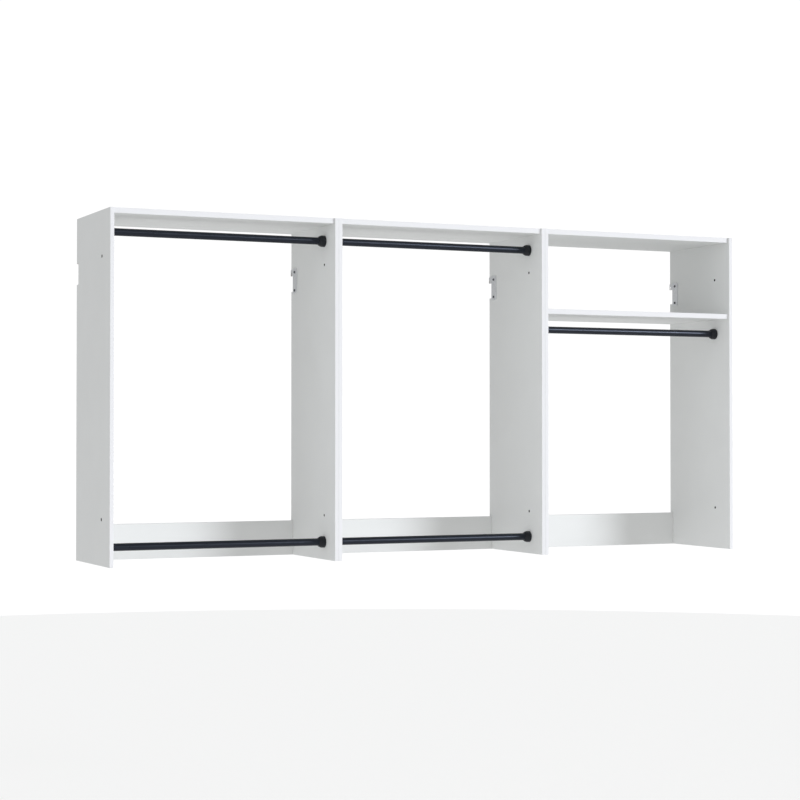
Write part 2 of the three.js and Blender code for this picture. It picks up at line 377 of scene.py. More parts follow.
@dataclass(frozen=True)
class MouldedPlastic(Finish):
    """Black nylon of the rod cups, injection moulded in a spark eroded tool.

    The tool leaves a fine even matt grain, drawn here at 0.9 mm, that turns highlights into a dull
    glow.
    """

    name: str = "black_moulded_nylon"
    colour: str = "#191C23"
    roughness: float = 0.46
    glossier: float = 0.04
    duller: float = 0.06
    specular: float = 0.35
    slot: str = "black_plastic"
    grain_mm: float = 0.9

    def patterns(self) -> list[Pattern]:
        """Return the moulded grain."""
        return [Pattern(NOISE, self.grain_mm, ONE_LAYER, gloss=VALUE, relief=VALUE)]


@dataclass(frozen=True)
class Metal(Finish):
    """Base of the bare metal finishes, with a mottle of two tones and fine pits."""

    glossier: float = 0.07
    duller: float = 0.07
    relief_mm: float = 0.03
    metallic: float = 1.0
    mottle_mm: float = 6.0
    pit_mm: float = 0.8

    def patterns(self) -> list[Pattern]:
        """Return the metal's mottle and pits."""
        return [Pattern(CELLS, self.mottle_mm, feature="SMOOTH_F1", tone=COLOUR),
                Pattern(NOISE, self.pit_mm, TWO_LAYERS, gloss=VALUE, relief=VALUE)]


@dataclass(frozen=True)
class ZincPlate(Metal):
    """Pressed sheet steel with a bright zinc plating: pale, softly clouded and half dull."""

    name: str = "zinc_plated_sheet_steel"
    colour: str = "#F6F7F9"
    shade: str = "#EBEDF0"
    roughness: float = 0.45
    slot: str = "zinc_steel"


@dataclass(frozen=True)
class CastZinc(Metal):
    """Die cast zinc of the cams: grey, matt from the tumbler, with a fine cast skin."""

    name: str = "die_cast_zinc"
    colour: str = "#A6A8AA"
    shade: str = "#8E9193"
    roughness: float = 0.52
    slot: str = "zinc_steel"
    mottle_mm: float = 2.0
    pit_mm: float = 0.5


@dataclass(frozen=True)
class ScrewSteel(Metal):
    """Drawn and rolled screw steel under a thin dark zinc passivation."""

    name: str = "passivated_screw_steel"
    colour: str = "#6B6E73"
    shade: str = "#54575C"
    roughness: float = 0.36
    slot: str = "screw_steel"
    mottle_mm: float = 3.0
    pit_mm: float = 0.4


@dataclass(frozen=True)
class Beech(Finish):
    """Fluted beech dowel: pale pinkish wood with short dark flecks along its length."""

    name: str = "beech_dowel"
    colour: str = "#D9B48A"
    shade: str = "#B98F63"
    roughness: float = 0.62
    fleck_mm: float = 0.7
    fleck_length_mm: float = 4.0

    def patterns(self) -> list[Pattern]:
        """Return the wood's flecks, drawn out along the dowel."""
        return [Pattern(NOISE, self.fleck_mm, TWO_LAYERS, length_mm=self.fleck_length_mm, tone=VALUE)]


class Surface(Enum):
    """Finishes of the closet."""

    MELAMINE = MelamineFace()
    BAND = EdgeBand()
    CORE = ParticleCore()
    # Near-black painted shade for the insides of holes
    BORE = BoreWall()
    POWDER_COAT = PowderCoat()
    PLASTIC = MouldedPlastic()
    ZINC = ZincPlate()
    CAST_ZINC = CastZinc()
    SCREW = ScrewSteel()
    BEECH = Beech()

    @cache
    def material(self) -> Material:
        """Return the material, built the first time that a piece asks for it."""
        return self.value.make()


# Mesh tools

def axes(u: Vector, v: Vector, w: Vector, origin: Vector) -> Matrix:
    """Lay a flat drawing in space.

    Args:
        u: direction of the drawing's first axis.
        v: direction of its second axis.
        w: direction of its depth.
        origin: where its origin goes.

    Returns:
        The matrix that does it.
    """
    matrix = Matrix.Identity(4)
    for column, axis in enumerate((u, v, w, origin)):
        matrix.col[column][0:3] = axis
    return matrix


def closed_ring(bm: BMesh, points: Sequence[Vector], level: float) -> list[BMEdge]:
    """Draw a closed ring of edges through flat points at one level and return its edges."""
    verts = [bm.verts.new((point.x, point.y, level)) for point in points]
    return [bm.edges.new((verts[index - 1], verts[index])) for index in range(len(verts))]


def circle_ring(bm: BMesh, u: float, v: float, radius: float, level: float, sides: int) -> list[BMEdge]:
    """Draw a circle.

    Args:
        bm: the mesh.
        u: place of its centre along the first axis.
        v: place of its centre along the second axis.
        radius: radius of the circle.
        level: where it lies along w.
        sides: number of its edges.

    Returns:
        The edges.
    """
    verts = bmesh.ops.create_circle(
        bm, segments=sides, radius=radius, matrix=Matrix.Translation((u, v, level)))["verts"]
    return list(dict.fromkeys(edge for vert in verts for edge in vert.link_edges))


def extrude_ring(bm: BMesh, ring: Sequence[BMEdge], shift: Vector, scale: float) -> list[BMEdge]:
    """Extrude a ring of edges.

    Args:
        bm: the mesh.
        ring: the edges.
        shift: how far the new ring moves.
        scale: its size about the w axis, as a share of the old one's.

    Returns:
        The edges of the new ring.
    """
    made = bmesh.ops.extrude_edge_only(bm, edges=list(ring))["geom"]
    verts = {item for item in made if isinstance(item, BMVert)}
    bmesh.ops.scale(bm, vec=(scale, scale, 1.0), verts=list(verts))
    bmesh.ops.translate(bm, vec=shift, verts=list(verts))
    return [edge for edge in bm.edges if edge.verts[0] in verts and edge.verts[1] in verts]


def stack_rings(
    bm: BMesh, ring: list[BMEdge], rings: Sequence[tuple[float, float]]
) -> list[BMEdge]:
    """Draw a round out through rings of other sizes.

    Args:
        bm: the mesh.
        ring: the edges of the first ring.
        rings: radius and level of every ring, the first one too.

    Returns:
        The edges of the last ring.
    """
    for (radius, level), (next_radius, next_level) in zip(rings, rings[1:]):
        ring = extrude_ring(bm, ring, Vector((0, 0, next_level - level)), next_radius / radius)
    return ring


def add_part(bm: BMesh, part: BMesh, place: Matrix) -> None:
    """Add a part to a mesh, with its faces outwards.

    Args:
        bm: the mesh.
        part: the part's own mesh, freed here.
        place: where the part goes.
    """
    bmesh.ops.transform(part, matrix=place, verts=part.verts)
    bmesh.ops.recalc_face_normals(part, faces=part.faces)
    mesh = bpy.data.meshes.new("part")
    part.to_mesh(mesh)
    part.free()
    bm.from_mesh(mesh)
    bpy.data.meshes.remove(mesh)


def soften(bm: BMesh, radius: float, steps: int, choose: Callable[[BMEdge], bool]) -> None:
    """Round the arrises that a test chooses.

    Args:
        bm: the mesh.
        radius: how far the rounding reaches along each face.
        steps: segments across the rounding.
        choose: the test of an edge that turns enough to be an arris.
    """
    bmesh.ops.recalc_face_normals(bm, faces=bm.faces)
    bm.normal_update()
    edges = [edge for edge in bm.edges
             if edge.is_manifold and edge.calc_face_angle(0.0) > ARRIS_ANGLE and choose(edge)]
    bmesh.ops.bevel(bm, geom=edges, offset=radius, offset_type="OFFSET", segments=steps,
                    profile=0.5, affect="EDGES", material=-1)


def turned(profile: Sequence[tuple[float, float]], steps: int) -> BMesh:
    """Turn a closed profile about the X axis.

    Args:
        profile: radius and distance along X of each corner, in order.
        steps: facets around the axis.

    Returns:
        The turned mesh.
    """
    bm = bmesh.new()
    verts = [bm.verts.new((along, 0.0, radius)) for radius, along in profile]
    edges = [bm.edges.new((verts[index - 1], verts[index])) for index in range(len(verts))]
    bmesh.ops.spin(bm, geom=verts + edges, cent=(0, 0, 0), axis=X, dvec=(0, 0, 0),
                   angle=2 * math.pi, steps=steps, use_merge=True,
                   use_normal_flip=False, use_duplicate=False)
    bmesh.ops.remove_doubles(bm, verts=bm.verts, dist=WELD)
    bmesh.ops.recalc_face_normals(bm, faces=bm.faces)
    return bm


def make_piece(
    name: str,
    bm: BMesh,
    surfaces: Sequence[Surface],
    body: str = "frame",
    replaced: Sequence[str] = (),
    crisp: bool = True,
) -> Object:
    """Turn a mesh into a finished piece that rides on a body.

    Args:
        name: name of the piece.
        bm: its mesh, in place; freed here.
        surfaces: finishes, in the order of the mesh's material numbers.
        body: the body that carries it.
        replaced: nodes of the solid model that it stands for.
        crisp: whether its sharpest edges are shaded as such.

    Returns:
        The piece.
    """
    bmesh.ops.recalc_face_normals(bm, faces=bm.faces)
    mesh = bpy.data.meshes.new(name)
    bm.to_mesh(mesh)
    bm.free()
    for surface in surfaces:
        mesh.materials.append(surface.material())
    mesh.polygons.foreach_set("use_smooth", [True] * len(mesh.polygons))
    if crisp:
        mesh.set_sharp_from_angle(angle=CRISP_ANGLE)
    piece = bpy.data.objects.new(name, mesh)
    bpy.context.scene.collection.objects.link(piece)
    shading = piece.modifiers.new("Even shading", "WEIGHTED_NORMAL")
    shading.keep_sharp = True
    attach(piece, body)
    if replaced:
        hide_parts(*replaced)
    LOG.info("%s: %d faces on %s", name, len(mesh.polygons), body)
    return piece


# Boards and plates

@dataclass(frozen=True)
class Bore:
    """Round hole from the worked face of a slab; a depth of zero goes right through.

    The coating is torn off in a ring round the mouths of a hole that stays open, and wider on the
    far face, where the drill came out; the ring takes the bore's near-black painted shade.
    """

    u: float
    v: float
    radius: float
    depth: float = 0.0
    torn: float = 0.0
    burst: float = 0.0

    def bared(self, level: float) -> float:
        """Return how wide the torn ring of painted shade is at a level: zero is the worked face."""
        return self.torn if level == 0 else self.burst


@dataclass
class Slab:
    """Flat board or plate, drawn in u and v, with its worked face at w = 0.

    Its corners hold u, v and the radius of a rounding. The margin is the width of the band of
    faces along the outline, and half of it is the least width of the one round a hole.
    """

    corners: Sequence[tuple[float, float, float]]
    thickness: float
    bores: Sequence[Bore] = ()
    margin: float = 2.0 * MM
    corner_steps: int = 6

    def outline(self, bm: BMesh, level: float) -> tuple[list[BMEdge], list[BMEdge]]:
        """Draw the outline at a level, with a band of faces just inside it.

        Args:
            bm: the mesh.
            level: where the outline lies along w.

        Returns:
            The edges of the outline and those of the band's inner side.
        """
        known = set(bm.faces)
        verts = [bm.verts.new((u, v, level)) for u, v, _ in self.corners]
        bm.faces.new(verts)
        for radius in sorted({corner[2] for corner in self.corners if corner[2] > 0}):
            chosen = [vert for vert, corner in zip(verts, self.corners) if corner[2] == radius]
            bmesh.ops.bevel(bm, geom=chosen, offset=radius, offset_type="OFFSET",
                            segments=self.corner_steps, profile=0.5, affect="VERTICES",
                            material=-1)
        sheet = next(face for face in bm.faces if face not in known)
        sheet.normal_update()
        bmesh.ops.inset_region(bm, faces=[sheet], thickness=self.margin, use_boundary=True,
                               use_even_offset=True)
        patch = [face for face in bm.faces if face not in known]
        border = [edge for face in patch for edge in face.edges if edge.is_boundary]
        inner = next(face for face in patch if not any(edge.is_boundary for edge in face.edges))
        inside = list(inner.edges)
        bmesh.ops.delete(bm, geom=[inner], context="FACES_ONLY")
        return border, inside

    def face(self, bm: BMesh, level: float, bores: Sequence[Bore]) -> list[list[BMEdge]]:
        """Lay one face, with its holes, at a level.

        Args:
            bm: the mesh.
            level: where the face lies along w.
            bores: the holes that open in this face.

        Returns:
            The edges of the outline, then those of each hole.
        """
        border, inside = self.outline(bm, level)
        rings = [border]
        for bore in bores:
            reach = bore.radius + max(self.margin / 2, bore.bared(level))
            mouth = circle_ring(bm, bore.u, bore.v, bore.radius, level, HOLE_ROUND)
            collar = circle_ring(bm, bore.u, bore.v, reach, level, HOLE_ROUND)
            bmesh.ops.bridge_loops(bm, edges=mouth + collar)
            rings.append(mouth)
            inside += collar
        bmesh.ops.triangle_fill(bm, use_beauty=True, use_dissolve=False, edges=inside)
        return rings

    def build(self) -> BMesh:
        """Build the two faces, the walls between them and the floors of blind holes.

        Returns:
            The slab's mesh.
        """
        bm = bmesh.new()
        through = [bore for bore in self.bores if not bore.depth]
        blind = [bore for bore in self.bores if bore.depth]
        worked = self.face(bm, 0.0, [*through, *blind])
        far = self.face(bm, -self.thickness, through)
        for near_ring, far_ring in zip(worked, far):
            bmesh.ops.bridge_loops(bm, edges=near_ring + far_ring)
        for ring, bore in zip(worked[len(far):], blind):
            floor = extrude_ring(bm, ring, Vector((0, 0, -bore.depth)), 1.0)
            bmesh.ops.edgeloop_fill(bm, edges=floor)
        return bm


@dataclass(frozen=True)
class BoardEdges:
    """How the edges of the closet's boards are eased."""

    band_radius: float = 1.0 * MM
    arris: float = 0.35 * MM
    steps: int = 3

    def mark(self, bm: BMesh, banded: Callable[[BMEdge], bool]) -> None:
        """Weigh every arris of a board by its radius, for the Bevel modifier that rounds it.

        Args:
            bm: the board.
            banded: the test of an arris that has the radius of the edge band.
        """
        bmesh.ops.recalc_face_normals(bm, faces=bm.faces)
        bm.normal_update()
        weight = bm.edges.layers.float.new("bevel_weight_edge")
        for edge in bm.edges:
            if edge.calc_face_angle(0.0) > ARRIS_ANGLE:
                edge[weight] = 1.0 if banded(edge) else self.arris / self.band_radius

    def ease(self, board: Object) -> None:
        """Round the weighed arrises of a board, ahead of its shading.

        Args:
            board: the finished board.
        """
        rounding = board.modifiers.new("Eased edges", "BEVEL")
        rounding.limit_method = "WEIGHT"
        rounding.width = self.band_radius
        rounding.segments = self.steps
        rounding.use_clamp_overlap = False
        board.modifiers.move(len(board.modifiers) - 1, 0)


@dataclass(frozen=True)
class BoardJoint:
    """Cam fitting and dowel that hold the end of a board to its side panel."""

    dowel_diameter: float = 8 * MM
    dowel_reach: float = 8 * MM
    dowel_hold: float = 20 * MM
    dowel_socket: float = 9 * MM
    dowel_from_cam: float = 32 * MM
    cam_diameter: float = 15 * MM
    cam_depth: float = 12.4 * MM
    cam_inset: float = 34 * MM
    cam_from_edge: float = 60 * MM
    cam_sink: float = 0.6 * MM
    cam_play: float = 0.15 * MM
    cam_rim: float = 0.4 * MM
    cam_slot_length: float = 9.2 * MM
    cam_slot_width: float = 1.6 * MM
    cam_slot_depth: float = 1.6 * MM


EDGES = BoardEdges()
JOINT = BoardJoint()
SLAB_FACES = (Surface.MELAMINE, Surface.BAND, Surface.CORE, Surface.BORE)
FACE_NUMBER, BAND_NUMBER, CORE_NUMBER, BORE_NUMBER = range(len(SLAB_FACES))

# A face whose normal has more than this share along w belongs to one of a board's two sides
FLAT_SHARE = 0.99

# Faces whose middle is this much past a bore's torn ring still take its painted shade
BORE_REACH = 0.1 * MM


def dress_slab(bm: BMesh, bores: Sequence[Bore], raw: Callable[[Vector], bool]) -> None:
    """Number a board's faces: painted shade in and round the bores, melamine on its two sides, raw core
    where it is cut, else band.

    Args:
        bm: the board, still drawn in u, v and w.
        bores: its holes.
        raw: the test of a point in a cut that shows the core.
    """
    bm.normal_update()
    for face in bm.faces:
        centre = face.calc_center_median()
        # Walls of bores and the rings round their mouths take the near-black painted shade
        if any(math.hypot(centre.x - bore.u, centre.y - bore.v)
               < bore.radius + bore.bared(centre.z) + BORE_REACH for bore in bores):
            face.material_index = BORE_NUMBER
        elif abs(face.normal.z) > FLAT_SHARE:
            face.material_index = FACE_NUMBER
        elif raw(centre):
            face.material_index = CORE_NUMBER
        else:
            face.material_index = BAND_NUMBER


@dataclass(frozen=True)
class DriverHead:
    """Head that a cross point driver turns: a disc with a crossed pocket, and rings below it."""

    rings: Sequence[tuple[float, float]]
    arm_length: float
    arm_width: float
    pocket_depth: float
    pocket_taper: float = 0.7
    sides: int = SMALL_ROUND

    def cross(self) -> list[Vector]:
        """Lay out the pocket's mouth.

        Returns:
            Its twelve corners, in order.
        """
        long, short = self.arm_length / 2, self.arm_width / 2
        quarter = [Vector((short, long, 0)), Vector((short, short, 0)), Vector((long, short, 0))]
        turns = [Matrix.Rotation(-turn * math.pi / 2, 3, "Z") for turn in range(4)]
        return [turn @ corner for turn in turns for corner in quarter]

    def add(self, bm: BMesh, place: Matrix) -> None:
        """Add the head and what hangs below it to a mesh.

        Args:
            bm: the mesh.
            place: where the head goes, with its axis along w.
        """
        part = bmesh.new()
        radius, level = self.rings[0]
        rim = circle_ring(part, 0, 0, radius, level, self.sides)
        mouth = closed_ring(part, self.cross(), level)
        bmesh.ops.triangle_fill(part, use_beauty=True, use_dissolve=False, edges=rim + mouth)
        floor = extrude_ring(part, mouth, Vector((0, 0, -self.pocket_depth)), self.pocket_taper)
        bmesh.ops.triangle_fill(part, use_beauty=True, use_dissolve=False, edges=floor)
        end = stack_rings(part, rim, self.rings)
        bmesh.ops.triangle_fill(part, use_beauty=True, use_dissolve=False, edges=end)
        add_part(bm, part, place)


@dataclass(frozen=True)
class Dowel:
    """Fluted dowel with chamfered ends, drawn along w."""

    radius: float
    length: float
    chamfer: float = 1.0 * MM
    flute: float = 0.94

    def add(self, bm: BMesh, place: Matrix) -> None:
        """Add the dowel to a mesh.

        Args:
            bm: the mesh.
            place: where its outer end goes, with its axis along w.
        """
        part = bmesh.new()
        end_radius = self.radius - self.chamfer / 2
        rings = [(end_radius, 0.0), (self.radius, self.chamfer),
                 (self.radius, self.length - self.chamfer), (end_radius, self.length)]
        ring = circle_ring(part, 0, 0, end_radius, 0.0, SMALL_ROUND)
        bmesh.ops.triangle_fill(part, use_beauty=True, use_dissolve=True, edges=ring)
        ring = stack_rings(part, ring, rings)
        bmesh.ops.triangle_fill(part, use_beauty=True, use_dissolve=True, edges=ring)
        pitch = 2 * math.pi / SMALL_ROUND
        grooves = [vert for vert in part.verts
                   if round(math.atan2(vert.co.y, vert.co.x) / pitch) % 2 == 0]
        bmesh.ops.scale(part, vec=(self.flute, self.flute, 1.0), verts=grooves)
        add_part(bm, part, place)


class Hand(Enum):
    """Side of a unit, with the sign of its place along X."""

    LEFT = -1
    RIGHT = 1

    @property
    def word(self) -> str:
        """Return the side's name in the names of nodes."""
        return self.name.lower()


@dataclass(frozen=True)
class UnitPlan:
    """Places of one unit, read from the solid model."""

    number: int

    def node(self, part: str) -> str:
        """Return the name of the unit's node for a part."""
        return f"unit_{self.number}_{part}"

    def those_of(self, *parts: str) -> list[str]:
        """Return the nodes of the parts that the unit has."""
        nodes = [self.node(part) for part in parts]
        return [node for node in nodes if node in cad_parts]

    def inner(self, hand: Hand) -> float:
        """Return where the inner face of a side panel stands along X."""
        low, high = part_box(self.node(f"{hand.word}_panel"))
        return high.x if hand is Hand.LEFT else low.x

    def board_end(self, hand: Hand) -> float:
        """Return where the boards between the panels end along X."""
        return self.inner(hand) - hand.value * FIT_GAP

    @property
    def shelves(self) -> list[str]:
        """Return the unit's shelf nodes."""
        return self.those_of("top_shelf", "lower_shelf")

    @property
    def rods(self) -> list[str]:
        """Return the unit's rod nodes."""
        return self.those_of("upper_rod", "lower_rod", "rod")


def middle(node: str) -> Vector:
    """Return the middle of a node's box."""
    low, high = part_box(node)
    return (low + high) / 2


def shelf_stations(shelf: str) -> list[tuple[float, float]]:
    """Place the fittings across a shelf.

    Args:
        shelf: the shelf's node.

    Returns:
        The Y of each cam and of its dowel, the front pair first.
    """
    low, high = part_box(shelf)
    front = low.y + JOINT.cam_from_edge
    back = high.y - JOINT.cam_from_edge
    return [(front, front + JOINT.dowel_from_cam), (back, back - JOINT.dowel_from_cam)]


@dataclass
class SidePanel:
    """Side panel of a unit, notched at the back for the wall rail."""

    plan: UnitPlan
    hand: Hand
    hole_diameter: float = 7 * MM
    hole_inset: float = 150 * MM
    # Widths of the torn rings round the system holes' mouths, painted with the bore's near-black shade
    hole_torn: float = 1.0 * MM
    hole_burst: float = 2.3 * MM
    notch_drop: float = 152 * MM
    notch_height: float = 70 * MM
    notch_depth: float = 20 * MM
    notch_radius: float = 3 * MM
    pilot_radius: float = 2.05 * MM
    pilot_depth: float = 9.3 * MM

    def bores(self, low: Vector, high: Vector) -> list[Bore]:
        """Place every hole: system holes, dowel sockets, and pilots of the cups and brackets.

        Args:
            low: lowest corner of the panel's box.
            high: highest corner of the panel's box.

        Returns:
            The holes, with Y as u and Z as v.
        """
        rod_line = middle(self.plan.rods[0]).y
        bores = [Bore(rod_line, z, self.hole_diameter / 2, torn=self.hole_torn, burst=self.hole_burst)
                 for z in (low.z + self.hole_inset, high.z - self.hole_inset)]
        sockets = [(y, middle(shelf).z) for shelf in self.plan.shelves
                   for _, y in shelf_stations(shelf)]
        rail = middle(self.plan.node("back_rail"))
        sockets += [(rail.y, rail.z + side * JOINT.dowel_from_cam) for side in (-1, 1)]
        bores += [Bore(y, z, JOINT.dowel_diameter / 2 + FIT_GAP, JOINT.dowel_socket)
                  for y, z in sockets]
        screws = [f"{rod}_{self.hand.word}_cup_screw" for rod in self.plan.rods]
        screws += [self.plan.node(f"{self.hand.word}_bracket_{end}_screw")
                   for end in ("upper", "lower")]
        bores += [Bore(middle(screw).y, middle(screw).z, self.pilot_radius, self.pilot_depth)
                  for screw in screws]
        return bores

    def build(self) -> Object:
        """Build the panel.

        Returns:
            The panel.
        """
        node = self.plan.node(f"{self.hand.word}_panel")
        low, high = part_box(node)
        notch_top = high.z - self.notch_drop
        notch_foot = notch_top - self.notch_height
        notch_floor = high.y - self.notch_depth
        corners = [
            (low.y, low.z, 0.0),
            (high.y, low.z, 0.0),
            (high.y, notch_foot, 0.0),
            (notch_floor, notch_foot, self.notch_radius),
            (notch_floor, notch_top, self.notch_radius),
            (high.y, notch_top, 0.0),
            (high.y, high.z, 0.0),
            (low.y, high.z, 0.0),
        ]

        def along_front(edge: BMEdge) -> bool:
            """Tell whether an arris runs down the front."""
            return (all(vert.co.x < low.y + EDGES.arris for vert in edge.verts)
                    and abs(edge.verts[0].co.y - edge.verts[1].co.y) > self.notch_height)

        def in_notch(point: Vector) -> bool:
            """Tell whether a point lies on the notch's walls."""
            return (notch_floor - EDGES.arris < point.x < high.y - EDGES.arris
                    and notch_foot - EDGES.arris < point.y < notch_top + EDGES.arris)

        bores = self.bores(low, high)
        bm = Slab(corners, high.x - low.x, bores).build()
        EDGES.mark(bm, along_front)
        dress_slab(bm, bores, in_notch)
        toward_bay = -self.hand.value * X
        place = axes(Y, Z, toward_bay, self.plan.inner(self.hand) * X)
        bmesh.ops.transform(bm, matrix=place, verts=bm.verts)
        board = make_piece(f"{node}_board", bm, SLAB_FACES, replaced=[node], crisp=False)
        EDGES.ease(board)
        return board


@dataclass
class CrossBoard:
    """Board between two side panels, with cams in its worked face and dowels in its ends."""

    plan: UnitPlan
    node: str

    def frame_of_face(self) -> tuple[Vector, Vector, Vector]:
        """Return the axes of the drawing: along the board, across it, and out of the worked face."""
        raise NotImplementedError

    def cam_stations(self) -> list[float]:
        """Return where the cams stand across the board."""
        raise NotImplementedError

    def dowel_points(self) -> list[tuple[float, float]]:
        """Return the Y and Z of the dowels."""
        raise NotImplementedError

    def banded(self, edge: BMEdge) -> bool:
        """Tell whether an arris has the radius of the edge band, as those along the board do."""
        return abs(edge.verts[0].co.x - edge.verts[1].co.x) > JOINT.cam_inset

    def ends(self) -> tuple[float, float]:
        """Return where the board starts and ends along X."""
        return self.plan.board_end(Hand.LEFT), self.plan.board_end(Hand.RIGHT)

    def build(self) -> list[Object]:
        """Build the board with its fittings.

        Returns:
            The board, its cams and its dowels.
        """
        low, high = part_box(self.node)
        along, across, out = self.frame_of_face()
        start, end = self.ends()
        near, far = low.dot(across), high.dot(across)
        corners = [(start, near, 0.0), (end, near, 0.0), (end, far, 0.0), (start, far, 0.0)]
        cams = [(x, v) for x in (start + JOINT.cam_inset, end - JOINT.cam_inset)
                for v in self.cam_stations()]
        bores = [Bore(x, v, JOINT.cam_diameter / 2, JOINT.cam_depth + JOINT.cam_sink)
                 for x, v in cams]
        bm = Slab(corners, (high - low).dot(out), bores).build()
        EDGES.mark(bm, self.banded)
        dress_slab(bm, bores, lambda point: False)
        place = axes(along, across, out, high.dot(out) * out)
        bmesh.ops.transform(bm, matrix=place, verts=bm.verts)
        board = make_piece(f"{self.node}_board", bm, SLAB_FACES, replaced=[self.node], crisp=False)
        EDGES.ease(board)
        return [board, self.build_cams(cams, place), self.build_dowels()]

    def build_cams(self, cams: Sequence[tuple[float, float]], place: Matrix) -> Object:
        """Build the cams of the board.

        Args:
            cams: places of the cams in the drawing of the worked face.
            place: the matrix of that drawing.

        Returns:
            The cams, as one piece.
        """
        radius = JOINT.cam_diameter / 2 - JOINT.cam_play
        rings = [(radius - JOINT.cam_rim, -JOINT.cam_sink),
                 (radius, -JOINT.cam_sink - JOINT.cam_rim),
                 (radius, -JOINT.cam_depth)]
        head = DriverHead(rings, JOINT.cam_slot_length, JOINT.cam_slot_width,
                          JOINT.cam_slot_depth, sides=HOLE_ROUND)
        bm = bmesh.new()
        for u, v in cams:
            head.add(bm, place @ Matrix.Translation((u, v, 0)))
        return make_piece(f"{self.node}_cams", bm, [Surface.CAST_ZINC])

    def build_dowels(self) -> Object:
        """Build the dowels in the board's ends.

        Returns:
            The dowels, as one piece.
        """
        dowel = Dowel(JOINT.dowel_diameter / 2, JOINT.dowel_reach + JOINT.dowel_hold)
        bm = bmesh.new()
        for hand, end in zip(Hand, self.ends()):
            tip = end + hand.value * (JOINT.dowel_reach + FIT_GAP)
            for y, z in self.dowel_points():
                dowel.add(bm, axes(Y, Z, -hand.value * X, Vector((tip, y, z))))
        return make_piece(f"{self.node}_dowels", bm, [Surface.BEECH])


@dataclass
class Shelf(CrossBoard):
    """Fixed shelf, with its cams in the top face and an edge band along its front."""

    def frame_of_face(self) -> tuple[Vector, Vector, Vector]:
        """Return the axes of the top face."""
        return X, Y, Z

    def cam_stations(self) -> list[float]:
        """Return the Y of the cams."""
        return [cam for cam, _ in shelf_stations(self.node)]

    def dowel_points(self) -> list[tuple[float, float]]:
        """Return the Y and Z of the dowels."""
        return [(dowel, middle(self.node).z) for _, dowel in shelf_stations(self.node)]

    def banded(self, edge: BMEdge) -> bool:
        """Tell whether an arris runs along the front."""
        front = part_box(self.node)[0].y + EDGES.arris
        return super().banded(edge) and all(vert.co.y < front for vert in edge.verts)


@dataclass
class BackRail(CrossBoard):
    """Low rail at the wall, with its cams in the rear face and all four long arrises rounded."""

    def frame_of_face(self) -> tuple[Vector, Vector, Vector]:
        """Return the axes of the rear face."""
        return X, Z, Y

    def cam_stations(self) -> list[float]:
        """Return the Z of the cams."""
        return [middle(self.node).z]

    def dowel_points(self) -> list[tuple[float, float]]:
        """Return the Y and Z of the dowels."""
        centre = middle(self.node)
        return [(centre.y, centre.z + side * JOINT.dowel_from_cam) for side in (-1, 1)]


# Rods, cups, brackets and screws

@dataclass
class Rod:
    """Hanging rod: a drawn steel tube with eased ends, free to turn in its cups."""

    node: str
    wall: float = 1.2 * MM
    ease: float = 0.35 * MM
    ease_steps: int = 3

    def build(self) -> Object:
        """Build the rod.

        Returns:
            The rod.
        """
        low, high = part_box(self.node)
        outside = (high.z - low.z) / 2
        half = (high.x - low.x) / 2
        inside = outside - self.wall
        profile = [(inside, -half), (outside, -half), (outside, half), (inside, half)]
        bm = turned(profile, FINE_ROUND)
        soften(bm, self.ease, self.ease_steps, lambda edge: True)
        bmesh.ops.translate(bm, vec=middle(self.node), verts=bm.verts)
        return make_piece(f"{self.node}_steel_tube", bm, [Surface.POWDER_COAT],
                          f"{self.node}_tube", [self.node])


@dataclass
class Cup:
    """Closed rod cup: a straight band at its seat and a domed nose down to a thin lip."""

    node: str
    hand: Hand
    bore: float = 12.85 * MM
    lip: float = 1.0 * MM
    band: float = 10 * MM
    floor: float = 4.2 * MM
    roundness: float = 1.33
    nose_steps: int = 14
    screw_hole: float = 2.05 * MM
    screw_seat: float = 4.1 * MM
    screw_sink: float = 2.6 * MM
    ease: float = 0.35 * MM
    ease_steps: int = 3

    def nose(self, rim: float, depth: float) -> list[tuple[float, float]]:
        """Draw the dome between the band and the mouth, a curve between a cone and an ellipse.

        Args:
            rim: radius of the band.
            depth: distance of the mouth from the seat.

        Returns:
            Radius and distance from the seat of each point.
        """
        mouth = self.bore + self.lip
        power = 2 / self.roundness
        angles = [step / self.nose_steps * math.pi / 2 for step in range(self.nose_steps + 1)]
        return [(mouth + (rim - mouth) * max(math.cos(angle), 0.0) ** power,
                 self.band + (depth - self.band) * math.sin(angle) ** power) for angle in angles]

    def build(self) -> Object:
        """Build the cup.

        Returns:
            The cup.
        """
        low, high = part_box(self.node)
        depth = high.x - low.x
        rim = (high.z - low.z) / 2
        profile = [
            (self.screw_hole, 0.0),
            (rim, 0.0),
            *self.nose(rim, depth),
            (self.bore, depth),
            (self.bore, self.floor),
            (self.screw_seat, self.floor),
            (self.screw_hole, self.floor - self.screw_sink),
        ]
        bm = turned(profile, FINE_ROUND)
        soften(bm, self.ease, self.ease_steps,
               lambda edge: abs(edge.verts[0].co.x - edge.verts[1].co.x) < self.ease)
        seat = low.x if self.hand is Hand.LEFT else high.x
        centre = middle(self.node)
        place = axes(-self.hand.value * X, Y, Z, Vector((seat, centre.y, centre.z)))
        bmesh.ops.transform(bm, matrix=place, verts=bm.verts)
        return make_piece(f"{self.node}_moulding", bm, [Surface.PLASTIC], replaced=[self.node])


